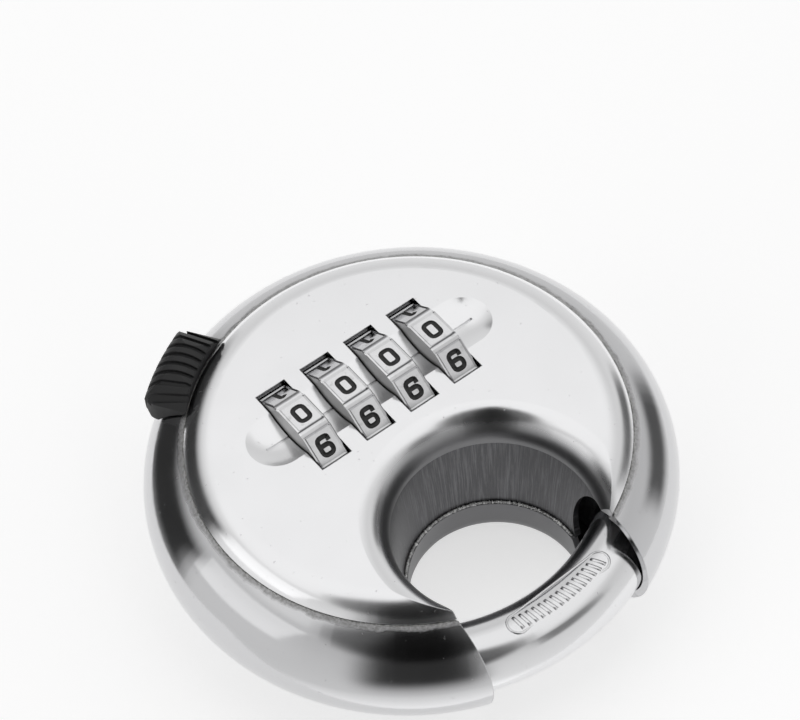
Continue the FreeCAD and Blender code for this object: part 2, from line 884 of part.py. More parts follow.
def make_core():
    throat = cylinder("core_throat", d["core_throat_radius"], through, y=throat_y, z=BOTTOM)
    groove = bar_groove("core_groove", d["groove_bar"])
    shared = (groove, shield_track(), throat, core_gap, dial_pocket(), core_screw_holes())
    make_core_front(shared)
    make_core_rear(shared)


def make_core_screws():
    head_low = mid + d["core_screw_seat_rise"] + d["fit_gap"]
    head_radius = d["core_screw_head_radius"]
    top = mid + d["core_screw_top_rise"]
    shapes = screw_tools(
        "core_screw", d["core_screw_radius"], head_radius, d["core_screw_low"], top, head_low
    )
    half_length = head_radius + d["overrun"]
    half_width = d["core_screw_slot_half_width"]
    slots = [
        box(
            f"core_screw_slot_{i}",
            (x - half_length, x + half_length),
            (y - half_width, y + half_width),
            (top - d["core_screw_slot_depth"], top + d["overrun"]),
        )
        for i, (x, y) in enumerate(CORE_SCREWS)
    ]
    node(cut("core_screws_slotted", fuse("core_screw_group", *shapes), *slots), "core_screws")


# Shackle and slider -----------------------------------------------------------------------------


def sector_ring(name, low, high, half_height, start, sweep):
    """A flat bar bent round the disc's axis, from a start angle, growing anticlockwise."""
    points = [(low, mid - half_height), (high, mid - half_height), (high, mid + half_height)]
    points += [(low, mid + half_height)]
    return revolved(name, points, sweep=as_dim(sweep), middle=start + sweep / 2)


def ramp_tool():
    """A cylinder off the disc's axis, whose wall climbs evenly along the shackle's tail."""
    first = d["tail_angle"].value
    start = math.radians(first)
    end = math.radians(first + d["ramp_sweep"].value)
    inner = d["shackle_ring"].value - d["shackle_bar"].value
    depth = d["ramp_depth"].value
    polar = ((start, inner + depth), ((start + end) / 2, inner + depth / 2), (end, inner))
    on_wall = [FreeCAD.Vector(r * math.cos(a), r * math.sin(a), 0) for a, r in polar]
    arc = Part.Arc(*on_wall).toShape().Curve
    centre_x, centre_y = as_dim(arc.Center.x), as_dim(arc.Center.y)
    tool = cylinder("ramp_wall", as_dim(arc.Radius), through, centre_x, centre_y, BOTTOM)
    overrun = d["ramp_overrun"].value
    sweep = d["ramp_sweep"].value + overrun
    low, high = d["shackle_ring"] - 3 * d["shackle_bar"], d["seat_radius"]
    half_height = d["shackle_bar"] * 2
    wedge = sector_ring("ramp_wedge", low, high, half_height, first - overrun, sweep)
    return common("ramp_tool", tool, wedge)


def make_shackle():
    ring, radius = d["shackle_ring"], d["shackle_bar"]
    quarters = [(ring, mid - radius), (ring + radius, mid), (ring, mid + radius), (ring - radius, mid)]
    round_edges = {i: (radius, True) for i in range(len(quarters))}
    tail = d["tail_angle"].value
    middle = tail + d["shackle_sweep"].value / 2
    bar = revolved("shackle_bar", quarters, round_edges, sweep=d["shackle_sweep"], middle=middle)
    high = d["outer_radius"] + d["overrun"]
    play = d["seat_play"].value
    arm_start = d["arm_middle"].value - d["arm_sweep"].value / 2
    seat_low = d["seat_radius"] - d["fit_gap"]
    seat_half = d["arm_half_height"] + d["fit_gap"]
    arm_seat_sweep = d["arm_sweep"].value + 2 * play
    seat = sector_ring("slider_seat", seat_low, high, seat_half, arm_start - play, arm_seat_sweep)
    shield_low = d["shield_radius"] - d["shield_gauge"] - d["fit_gap"]
    overrun = d["track_overrun"].value
    shield_seat_sweep = d["shield_overlap"].value + overrun + 2 * play
    shield_seat = sector_ring(
        "shield_seat", shield_low, high, radius + d["overrun"], tail - overrun, shield_seat_sweep
    )
    holes = slider_screw_shapes("slider_hole", d["slider_screw_radius"], d["slider_screw_radius"])
    node(cut("shackle_cut", bar, seat, shield_seat, ramp_tool(), *holes), "shackle")


def slider_screw_angles():
    middle, spread = d["arm_middle"].value, d["slider_screw_spread"].value
    return (middle - spread, middle + spread)


def slider_screw_shapes(name, radius, head_radius):
    """The two screws that hold the slider's arm on the shackle, or their holes."""
    shapes = []
    top = d["outer_radius"] + d["grip_gap"] + d["arm_gauge"] - d["slider_screw_sink"]
    head_low = top - d["slider_head_gauge"]
    for i, degrees in enumerate(slider_screw_angles()):
        shank = radial_cylinder(f"{name}_shank_{i}", radius, d["slider_screw_tip"], top, degrees, mid)
        head = radial_cylinder(f"{name}_head_{i}", head_radius, head_low, top, degrees, mid)
        shapes.append(fuse(f"{name}_{i}", shank, head))
    return shapes


def make_slider_screws():
    radius = d["slider_screw_radius"] - d["slider_screw_play"]
    shapes = slider_screw_shapes("slider_screw", radius, d["slider_head_radius"])
    top = d["outer_radius"] + d["grip_gap"] + d["arm_gauge"] - d["slider_screw_sink"]
    half = (d["slider_slot_width"] / 2).value
    floor = (top - d["slider_slot_depth"]).value
    head = d["slider_head_radius"] + d["overrun"]
    slots = []
    for i, degrees in enumerate(slider_screw_angles()):
        slot = doc.addObject("Part::Box", f"slider_screw_slot_{i}")
        bind(slot, Length=d["overrun"], Width=d["slider_slot_width"], Height=head * 2)
        angle = math.radians(degrees)
        corner = FreeCAD.Vector(
            floor * math.cos(angle) + half * math.sin(angle),
            floor * math.sin(angle) - half * math.cos(angle),
            (mid - head).value,
        )
        slot.Placement = FreeCAD.Placement(corner, turn((0, 0, 1), degrees))
        slots.append(slot)
    node(cut("slider_screws_slotted", fuse("slider_screw_set", *shapes), *slots), "slider_screws")


def make_slider_arm():
    """The arm that goes down the rim's outside from the grip and through the slot."""
    under = d["rim_bend"] + d["grip_gap"]
    over = under + d["arm_gauge"]
    half, top, seat = d["arm_half_height"], d["arm_top_rise"], d["seat_radius"]
    points = [
        (seat, -half),
        (on_rim(over, half), -half),
        (on_rim(over, top), top),
        (on_rim(under, top), top),
        (on_rim(under, half), half),
        (seat, half),
    ]
    lifted = [(r, mid + rise) for r, rise in points]
    arcs = {1: (over, True), 3: (under, False)}
    middle = d["arm_middle"].value
    body = revolved("slider_arm_block", lifted, arcs, sweep=d["arm_sweep"], middle=middle)
    head_radius = d["slider_head_radius"] + d["fit_gap"]
    holes = slider_screw_shapes("arm_hole", d["slider_screw_radius"], head_radius)
    node(cut("slider_arm_bored", body, *holes), "slider_arm")


def grip_section(depth):
    """Section of the grip, with its ribbed faces sunk by a depth."""
    under = d["rim_bend"] + d["grip_gap"]
    side, lip = d["grip_side_radius"], d["grip_lip_radius"]
    side_rise = rim_rise(under, side)
    neck_rise = (side_rise + d["grip_lip_low_rise"]) / 2
    slope = depth * math.sqrt(0.5)
    points = [
        (on_rim(under, d["grip_foot_rise"]), d["grip_foot_rise"]),
        (d["grip_foot_radius"] - depth, d["grip_foot_rise"]),
        (d["grip_nose_radius"] - depth, d["grip_nose_rise"]),
        (d["grip_shoulder_radius"] - slope, d["grip_shoulder_rise"] - slope),
        (lip, d["grip_lip_rise"] - depth),
        (lip, d["grip_lip_low_rise"]),
        ((side + lip) / 2, neck_rise),
        (side, side_rise),
    ]
    arcs = {2: (d["grip_nose_roll"], True), 3: (d["grip_crown_roll"], True), 7: (under, False)}
    return [(r, mid + rise) for r, rise in points], arcs


def grip_arch(name, depth):
    """A round bar across the grip, whose top is the grip's crown from end to end."""
    roll = d["grip_top_roll"] - depth
    height = mid + d["grip_top_rise"] - d["grip_top_roll"]
    return radial_cylinder(name, roll, zero, through, d["grip_middle"].value, height)


def make_slider_grip():
    """The ribbed thumb grip: a plain core, plain ends and a rib at each even step between."""
    sweep, end_sweep = d["grip_sweep"], d["grip_end_sweep"]
    middle = d["grip_middle"].value
    points, arcs = grip_section(d["rib_depth"])
    core = revolved("grip_core", points, arcs, sweep=sweep, middle=middle)
    core_arched = common("grip_core_arched", core, grip_arch("grip_arch_core", d["rib_depth"]))
    points, arcs = grip_section(zero)
    end_shift = (sweep - end_sweep).value / 2
    ribs = []
    for i, centre in enumerate((middle - end_shift, middle + end_shift)):
        ribs.append(revolved(f"grip_end_{i}", points, arcs, sweep=end_sweep, middle=centre))
    count, step = int(d["rib_count"].value), d["rib_step"].value
    for i in range(count):
        centre = middle + (i - (count - 1) / 2) * step
        ribs.append(revolved(f"grip_rib_{i}", points, arcs, sweep=d["rib_sweep"], middle=centre))
    ribs_arched = common("grip_ribs_arched", fuse("grip_ribs", *ribs), grip_arch("grip_arch", zero))
    half, corner = d["grip_half_length"], d["grip_corner"]
    outer = d["grip_nose_radius"]
    inner = d["plateau_radius"]
    plan = [(-half, inner), (half, inner), (half, outer - corner)]
    plan += [(half - corner, outer), (-(half - corner), outer), (-half, outer - corner)]
    rounds = {2: (corner, True), 4: (corner, True)}
    outline = padded("grip_outline", "XY_Plane", plan, through * 2, rounds)
    outline.Placement = FreeCAD.Placement(FreeCAD.Vector(), turn((0, 0, 1), middle - 90))
    ribbed = fuse("slider_grip_ribbed", core_arched, ribs_arched)
    node(common("slider_grip_trimmed", ribbed, outline), "slider_grip")


def make_dust_shield():
    """The strip behind the slot that keeps dirt out, fixed to the shackle's tail."""
    high = d["shield_radius"]
    sweep = d["shield_sweep"].value + d["shield_overlap"].value
    start = d["tail_angle"].value - d["shield_sweep"].value
    low = high - d["shield_gauge"]
    node(sector_ring("dust_strip", low, high, d["shield_half_height"], start, sweep), "dust_shield")


# Dials ------------------------------------------------------------------------------------------


def make_dials():
    y, z = d["dial_row_offset"], mid + d["dial_axis_rise"]
    corner = d["dial_flat_radius"] / math.cos(math.pi / FACETS)
    flat_up = ALONG_X.multiply(turn((0, 0, 1), 180 / FACETS))
    width, overrun = d["dial_width"], d["overrun"]
    key = d["key_half_width"]
    for i in range(DIAL_COUNT):
        name = f"dial_{i + 1}"
        left = dial_x(i) - width / 2
        prism = doc.addObject("Part::Prism", f"{name}_prism")
        prism.Polygon = FACETS
        bind(prism, Circumradius=corner, Height=width)
        place(prism, left, y, z, flat_up)
        trim = cylinder(f"{name}_trim", d["dial_corner_radius"], width, left, y, z, ALONG_X)
        hole = d["hub_radius"] + d["dial_play"]
        bore = cylinder(f"{name}_bore", hole, width + 2 * overrun, left - overrun, y, z, ALONG_X)
        ring = cut(f"{name}_bored", common(f"{name}_trimmed", prism, trim), bore)
        key_z = (z + d["key_low"], z + d["key_high"])
        inner_key = box(f"{name}_key", (left, left + width), (y - key, y + key), key_z)
        node(fuse(f"{name}_keyed", ring, inner_key), name)


def make_sleeves():
    y, z = d["dial_row_offset"], mid + d["dial_axis_rise"]
    width, disc_width, overrun = d["dial_width"], d["gate_disc_width"], d["overrun"]
    side, half_height = d["gate_side"], d["gate_half_height"]
    key = d["key_half_width"] + d["fit_gap"]
    for i in range(DIAL_COUNT):
        name = f"sleeve_{i + 1}"
        left = dial_x(i) - width / 2
        disc_left = dial_x(i) + d["gate_disc_shift"] - disc_width / 2
        neck_length = width / 2 + d["gate_disc_shift"]
        hub = cylinder(f"{name}_hub", d["hub_radius"], width, left, y, z, ALONG_X)
        neck = cylinder(f"{name}_neck", d["neck_radius"], neck_length, left, y, z, ALONG_X)
        disc = cylinder(f"{name}_disc", d["gate_disc_radius"], disc_width, disc_left, y, z, ALONG_X)
        bore_length = neck_length + disc_width + 2 * overrun
        hole = d["axle_radius"] + d["fit_gap"]
        bore = cylinder(f"{name}_bore", hole, bore_length, left - overrun, y, z, ALONG_X)
        gate = box(
            f"{name}_gate",
            (disc_left - side, disc_left + disc_width + side),
            (y + d["gate_floor"], y + d["gate_disc_radius"] + overrun),
            (z - half_height, z + half_height),
        )
        keyway = box(
            f"{name}_keyway",
            (left - overrun, left + width + d["keyway_run"]),
            (y - key, y + key),
            (z + d["key_low"] - d["fit_gap"], z + d["hub_radius"] + overrun),
        )
        node(cut(f"{name}_gated", fuse(f"{name}_turned", hub, neck, disc), bore, gate, keyway), name)


def make_axle():
    y, z = d["dial_row_offset"], mid + d["dial_axis_rise"]
    radius, left = d["axle_radius"], d["axle_left"]
    yoke_left = d["pocket_right"] + d["yoke_gap"]
    rod = cylinder("axle_rod", radius, yoke_left + left + d["joint_overlap"], -left, y, z, ALONG_X)
    tip_left = d["axle_tip_left"]
    tip_length = tip_left - left + d["joint_overlap"]
    tip = cylinder("axle_tip", d["axle_tip_radius"], tip_length, -tip_left, y, z, ALONG_X)
    yoke = box(
        "axle_yoke",
        (yoke_left, d["reset_offset"] + d["yoke_right"]),
        (y - d["yoke_near"], y + d["yoke_far"]),
        (mid + d["yoke_low_rise"], z + d["yoke_half_height"]),
    )
    pin_x = d["reset_offset"] - d["reset_throw"] * math.cos(math.pi / 4)
    half = d["reset_pin_radius"] + d["reset_pin_play"]
    slot_y = (y - d["yoke_slot_near"], y + d["yoke_slot_far"])
    slot = box("yoke_slot", (pin_x - half, pin_x + half), slot_y, (mid, mid + d["yoke_slot_rise"]))
    node(cut("axle_slotted", fuse("axle_body", rod, tip, yoke), slot), "dial_axle")


def make_reset_screw():
    """The slotted screw on the back, whose off-centre pin shifts the axle to change the code."""
    x, y = d["reset_offset"], d["dial_row_offset"]
    throw = d["reset_throw"] * math.cos(math.pi / 4)
    head_low, head_top = d["reset_head_low"], d["reset_head_top"]
    head = cylinder("reset_head", d["reset_head_radius"], head_top - head_low, x, y, head_low)
    shank_top = mid + d["reset_shank_rise"]
    shank = cylinder("reset_shank", d["reset_shank_radius"], shank_top - head_low, x, y, head_low)
    pin_low = mid + d["reset_pin_low_rise"]
    pin = cylinder(
        "reset_pin", d["reset_pin_radius"], d["reset_pin_length"], x - throw, y + throw, pin_low
    )
    half_length = d["reset_head_radius"] + d["overrun"]
    half = d["reset_slot_half_width"]
    slot_z = (BOTTOM, d["reset_slot_top"])
    slot = box("reset_slot", (x - half_length, x + half_length), (y - half, y + half), slot_z)
    node(cut("reset_slotted", fuse("reset_turned", head, shank, pin), slot), "reset_screw")


def bow_radius(half, bow):
    return (half * half + bow * bow) / (2 * bow)


def make_detent_springs():
    """One bowed leaf under each dial, which clicks from facet to facet."""
    gauge = d["leaf_gauge"]
    crest = d["dial_axis_rise"] - d["dial_corner_radius"] - d["leaf_crest_gap"]
    foot = d["leaf_foot_gap"] - d["pocket_drop"]
    y = d["dial_row_offset"]
    half = d["leaf_half_length"]
    wide = half + d["leaf_end_slope"]
    bow = crest - foot - gauge
    outer, inner = bow_radius(wide, bow), bow_radius(half, bow)
    points = [
        (y + half, mid + foot),
        (y + wide, mid + foot + gauge),
        (y, mid + crest),
        (y - wide, mid + foot + gauge),
        (y - half, mid + foot),
        (y, mid + crest - gauge),
    ]
    arcs = {1: (outer, True), 2: (outer, True), 4: (inner, False), 5: (inner, False)}
    for i in range(DIAL_COUNT):
        leaf = padded(f"leaf_{i + 1}", "YZ_Plane", points, d["leaf_width"], arcs, x=dial_x(i))
        node(leaf, f"detent_spring_{i + 1}")


def make_fence():
    """The bar whose fins meet the gate discs and whose nose stands before the shackle's tail."""
    y0 = d["fence_back_offset"]
    y1 = y0 + d["fence_gauge"]
    side = d["fence_half_span"]
    top = mid + d["fence_top_rise"]
    axis_rise = mid + d["dial_axis_rise"]
    half = d["fin_half_height"]
    wide = d["fin_width"] / 2
    overlap = d["joint_overlap"]
    shapes = [box("fence_plate", (-side, side), (y0, y1), (mid - d["fence_low_drop"], top))]
    last_fin = dial_x(DIAL_COUNT - 1) + d["gate_disc_shift"] + wide
    shapes.append(box("fence_wing", (side - overlap, last_fin), (y0, y1), (axis_rise - half, top)))
    tip = d["dial_row_offset"] + d["gate_disc_radius"] + d["fence_travel"] + d["fin_tip_gap"]
    fin_z = (axis_rise - half, axis_rise + half)
    for i in range(DIAL_COUNT):
        x = dial_x(i) + d["gate_disc_shift"]
        shapes.append(box(f"fence_fin_{i}", (x - wide, x + wide), (tip, y0 + overlap), fin_z))
    nose, tall = d["nose_half_width"], d["nose_half_height"]
    nose_y = (y1 - overlap, d["nose_tip_offset"])
    shapes.append(box("fence_nose", (-nose, nose), nose_y, (mid - tall, mid + tall)))
    node(fuse("fence", *shapes), "locking_fence")


def make_coil_springs():
    wire = d["spring_wire"].value
    clearance = (d["spring_wire"] / 2 + d["fit_gap"]).value
    start = d["spring_rib_far"].value + clearance
    length = d["fence_back_offset"].value - clearance - start
    pitch = length / d["fence_spring_turns"].value
    radius = d["fence_spring_radius"].value
    z = (mid - d["fence_spring_drop"]).value
    for name, x in (("left", -d["dial_pitch"].value), ("right", d["dial_pitch"].value)):
        spring = coil(f"{name}_coil", radius, wire, pitch, length, (x, start, z), ALONG_Y)
        node(spring, f"{name}_fence_spring")
    base = (
        -d["axle_spring_left"].value,
        d["dial_row_offset"].value,
        (mid + d["dial_axis_rise"]).value,
    )
    radius, pitch = d["axle_spring_radius"].value, d["axle_spring_pitch"].value
    axle_coil = coil("axle_coil", radius, wire, pitch, d["axle_spring_length"].value, base, ALONG_X)
    node(axle_coil, "axle_spring")


# Build, check and write -------------------------------------------------------------------------


def check_document():
    for obj in doc.Objects:
        bad = [state for state in obj.State if state in ("Invalid", "Error")]
        if bad:
            raise RuntimeError(f"{obj.Label}: {bad}")
    for obj in nodes:
        if obj.Shape.isNull() or not obj.Shape.isValid():
            raise RuntimeError(f"{obj.Label}: bad shape")


def write_steps():
    os.makedirs("parts", exist_ok=True)
    for obj in nodes:
        obj.Shape.exportStep(f"parts/{obj.Label}.step")
        print(f"{obj.Label:20s} {obj.Shape.Volume:10.2f} mm3  solids {len(obj.Shape.Solids)}")


def main():
    make_front_cover()
    make_rim_shell()
    make_rear_shell()
    make_throat_sleeve()
    make_core()
    make_core_screws()
    make_shackle()
    make_slider_arm()
    make_slider_grip()
    make_slider_screws()
    make_dust_shield()
    make_dials()
    make_sleeves()
    make_axle()
    make_reset_screw()
    make_detent_springs()
    make_fence()
    make_coil_springs()
    doc.recompute()
    check_document()
    write_steps()


main()
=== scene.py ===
"""Looks for the disc padlock: camera, studio, materials, numbered dials and surface detail.

Lengths are metres. MM turns the millimetres that the object is measured in into metres.
"""

import json
import math

import bmesh
import bpy
from mathutils import Matrix, Vector, noise


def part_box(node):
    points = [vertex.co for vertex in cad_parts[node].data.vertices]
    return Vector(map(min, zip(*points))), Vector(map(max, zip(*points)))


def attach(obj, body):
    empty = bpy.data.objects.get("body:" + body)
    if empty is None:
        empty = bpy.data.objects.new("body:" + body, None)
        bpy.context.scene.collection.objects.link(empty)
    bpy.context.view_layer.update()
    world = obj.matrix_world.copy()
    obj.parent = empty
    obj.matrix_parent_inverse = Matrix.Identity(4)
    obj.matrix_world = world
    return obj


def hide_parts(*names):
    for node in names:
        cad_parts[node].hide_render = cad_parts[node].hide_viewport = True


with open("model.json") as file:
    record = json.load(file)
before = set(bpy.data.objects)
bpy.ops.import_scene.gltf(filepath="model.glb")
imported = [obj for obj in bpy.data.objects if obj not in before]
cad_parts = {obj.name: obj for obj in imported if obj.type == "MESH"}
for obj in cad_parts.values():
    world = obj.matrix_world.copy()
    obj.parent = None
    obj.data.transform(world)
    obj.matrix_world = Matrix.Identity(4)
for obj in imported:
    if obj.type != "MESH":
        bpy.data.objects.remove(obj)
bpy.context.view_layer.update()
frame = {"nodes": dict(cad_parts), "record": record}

MM = 0.001
nodes = frame["nodes"]


def centre_of(node):
    low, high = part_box(node)
    return [(low[i] + high[i]) / 2 for i in range(3)]


SHACKLE_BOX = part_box("shackle")
MID = (SHACKLE_BOX[0][2] + SHACKLE_BOX[1][2]) / 2
BAR_RADIUS = (SHACKLE_BOX[1][2] - SHACKLE_BOX[0][2]) / 2
RING_RADIUS = -SHACKLE_BOX[0][1] - BAR_RADIUS
DIAL_CENTRES = [centre_of(f"dial_{i}") for i in range(1, 5)]
THROAT_Y = -17.7 * MM


# Shader node helper ----------------------------------------------------------------------------


class Sketch:
    """Short ways to add shader nodes to a tree and to link them."""

    def __init__(self, tree):
        self.tree = tree

    def add(self, kind):
        return self.tree.nodes.new(kind)

    def link(self, source, target):
        self.tree.links.new(source, target)

    def feed(self, slots, values):
        """Set each slot to its number, or link it to its socket."""
        for slot, value in zip(slots, values):
            if isinstance(value, (int, float)):
                slot.default_value = value
            else:
                self.link(value, slot)

    def maths(self, operation, *values):
        node = self.add("ShaderNodeMath")
        node.operation = operation
        self.feed(node.inputs, values)
        return node.outputs[0]

    def spread(self, value, low, high, to_low=0.0, to_high=1.0, smooth=False):
        node = self.add("ShaderNodeMapRange")
        node.interpolation_type = "SMOOTHSTEP" if smooth else "LINEAR"
        self.feed(list(node.inputs)[:5], (value, low, high, to_low, to_high))
        return node.outputs["Result"]

    def split(self, vector):
        node = self.add("ShaderNodeSeparateXYZ")
        self.link(vector, node.inputs[0])
        return node.outputs

    def dot(self, vector, direction):
        node = self.add("ShaderNodeVectorMath")
        node.operation = "DOT_PRODUCT"
        self.link(vector, node.inputs[0])
        node.inputs[1].default_value = direction
        return node.outputs["Value"]

    def ramp(self, value, stops):
        """A grey level that follows (position, level) stops."""
        node = self.add("ShaderNodeValToRGB")
        self.link(value, node.inputs["Fac"])
        elements = node.color_ramp.elements
        while len(elements) < len(stops):
            elements.new(0.5)
        for element, (position, level) in zip(elements, stops):
            element.position = position
            element.color = (level, level, level, 1)
        return node.outputs["Color"]


# Camera and studio ------------------------------------------------------------------------------


def make_camera(azimuth, elevation, roll, distance, lens, aside, down):
    """A camera that looks at the disc's middle; aside and down shift it within its own plane."""
    a, e, r = (math.radians(v) for v in (azimuth, elevation, roll))
    back = Vector((math.sin(a) * math.cos(e), -math.cos(a) * math.cos(e), math.sin(e)))
    right = Vector((0, 0, 1)).cross(back).normalized()
    up = back.cross(right)
    right, up = (
        math.cos(r) * right + math.sin(r) * up,
        -math.sin(r) * right + math.cos(r) * up,
    )
    place = back * distance + right * aside + up * down + Vector((0, 0, MID))
    camera = bpy.data.cameras.new("camera")
    camera.lens = lens
    camera.sensor_width = 36
    camera.clip_start = 0.01
    holder = bpy.data.objects.new("camera", camera)
    turn = Matrix((right, up, back)).transposed().to_4x4()
    holder.matrix_world = Matrix.Translation(place) @ turn
    bpy.context.collection.objects.link(holder)
    bpy.context.scene.camera = holder


CAMERA_AZIMUTH, CAMERA_ELEVATION, CAMERA_ROLL = -34.2, 52.8, -4.33
CAMERA_DISTANCE = 300 * MM
CAMERA_LENS = 103.2
CAMERA_ASIDE, CAMERA_DOWN = -1.39 * MM, 14.25 * MM
SHEET_SIZE = (150 * MM, 156 * MM)
SHEET_SHIFT = (3 * MM, 39 * MM)
SHEET_DROP = 0.1 * MM
SHEET_COLOUR = (0.58, 0.58, 0.58)
SHEET_GLOW = 0.6


def make_floor():
    """A pale sheet squared to the camera, with the disc near its front edge."""
    turn = Matrix.Rotation(math.radians(CAMERA_AZIMUTH), 3, "Z")
    middle = turn @ Vector((*SHEET_SHIFT, -SHEET_DROP))
    bpy.ops.mesh.primitive_plane_add(size=1, location=middle, rotation=turn.to_euler())
    floor = bpy.context.object
    floor.name = "floor"
    floor.scale = (*SHEET_SIZE, 1)
    material = bpy.data.materials.new("floor")
    material.use_nodes = True
    shader = material.node_tree.nodes["Principled BSDF"]
    shader.inputs["Base Color"].default_value = (*SHEET_COLOUR, 1)
    shader.inputs["Roughness"].default_value = 0.8
    shader.inputs["Emission Color"].default_value = (1.0, 1.0, 1.0, 1)
    shader.inputs["Emission Strength"].default_value = SHEET_GLOW
    floor.data.materials.append(material)


# The room's brightness from straight down (0) to straight up (1).
ROOM_LEVELS = (
    (0.0, 0.30), (0.015, 0.45), (0.03, 1.25), (0.12, 1.05), (0.22, 0.82), (0.40, 0.78),
    (0.60, 0.74), (0.80, 0.66), (0.86, 0.76), (0.90, 0.93), (1.0, 0.95),
)
# Shapes round the room: a compass direction with its outer and inner half widths in degrees,
# then the heights where the shape starts, is full, is full still and ends.
SOFTBOX = (166, 32, 10), (-0.35, 0.1, 0.42, 0.72)
DOORWAY = (114, 34, 23), (-0.75, -0.1, 0.36, 0.66)
FIGURE = (234, 27, 12), (-0.62, -0.1, 0.995, 1.0)
POST = (354, 22, 10), (-0.3, -0.05, 0.2, 0.42)
CABINET = (293, 18, 6), (0.3, 0.42, 0.6, 0.74)
SOFTBOX_GAIN = 0.05
# The round dark shape above the figure: its direction, and the cosines of its edge and core.
FACE_WAY = (-0.34, -0.50, 0.797)
FACE_EDGE, FACE_CORE = 0.84, 0.93
BACKDROP = (0.95, 0.95, 0.95)
KEY_PLACE = (-0.75, 0.2, 0.42)
KEY_SIZE = (0.6, 0.45)
KEY_POWER = 0.3


class Room(Sketch):
    """The studio's brightness by direction, built up from soft-edged regions."""

    def __init__(self, tree):
        super().__init__(tree)
        self.way = self.add("ShaderNodeTexCoord").outputs["Generated"]
        axes = self.split(self.way)
        self.up = axes["Z"]
        flat = self.maths("ADD", self.maths("MULTIPLY", axes["X"], axes["X"]),
                          self.maths("MULTIPLY", axes["Y"], axes["Y"]))
        self.reach = self.maths("MAXIMUM", self.maths("SQRT", flat), 0.001)

    def facing(self, degrees, far, near):
        """1 within near degrees of a compass direction, 0 beyond far degrees of it."""
        a = math.radians(degrees)
        along = self.maths("DIVIDE", self.dot(self.way, (math.cos(a), math.sin(a), 0)), self.reach)
        low, high = math.cos(math.radians(far)), math.cos(math.radians(near))
        return self.spread(along, low, high, smooth=True)

    def between(self, low, low_full, high_full, high):
        """1 between two heights, with soft ends."""
        start = self.spread(self.up, low, low_full, smooth=True)
        return self.maths("MULTIPLY", start, self.spread(self.up, high, high_full, smooth=True))

    def region(self, shape):
        """1 inside a shape of the room."""
        sideways, heights = shape
        return self.maths("MULTIPLY", self.facing(*sideways), self.between(*heights))

    def darken(self, level, mask, depth):
        """The level lowered by a share of itself where the mask is 1."""
        return self.maths("MULTIPLY", level, self.spread(mask, 0.0, 1.0, 1.0, 1.0 - depth))


def make_world():
    """A white room with a softbox, and dark shapes that the steel reflects."""
    world = bpy.data.worlds.new("studio")
    bpy.context.scene.world = world
    world.use_nodes = True
    room = Room(world.node_tree)
    level = room.ramp(room.spread(room.up, -1.0, 1.0), ROOM_LEVELS)
    glow = room.maths("MULTIPLY", room.region(SOFTBOX), SOFTBOX_GAIN)
    level = room.maths("ADD", level, glow)
    level = room.darken(level, room.region(DOORWAY), 0.95)
    level = room.darken(level, room.region(FIGURE), 0.95)
    face = room.spread(room.dot(room.way, FACE_WAY), FACE_EDGE, FACE_CORE, smooth=True)
    level = room.darken(level, face, 0.85)
    level = room.darken(level, room.region(POST), 0.85)
    level = room.darken(level, room.region(CABINET), 0.7)
    lit = room.add("ShaderNodeBackground")
    room.link(level, lit.inputs["Strength"])
    lit.inputs["Color"].default_value = (1.0, 1.0, 1.0, 1)
    backdrop = room.tree.nodes["Background"]
    backdrop.inputs["Color"].default_value = (*BACKDROP, 1)
    choose = room.add("ShaderNodeMixShader")
    room.link(room.add("ShaderNodeLightPath").outputs["Is Camera Ray"], choose.inputs["Fac"])
    room.link(lit.outputs[0], choose.inputs[1])
    room.link(backdrop.outputs[0], choose.inputs[2])
    room.link(choose.outputs[0], room.tree.nodes["World Output"].inputs["Surface"])


def make_light(name, place, size, power):
    """A rectangular light that points at the disc."""
    data = bpy.data.lights.new(name, "AREA")
    data.shape = "RECTANGLE"
    data.size, data.size_y = size
    data.energy = power
    holder = bpy.data.objects.new(name, data)
    holder.location = place
    holder.rotation_euler = (-Vector(place)).to_track_quat("-Z", "Y").to_euler()
    bpy.context.collection.objects.link(holder)


# Finishes ---------------------------------------------------------------------------------------


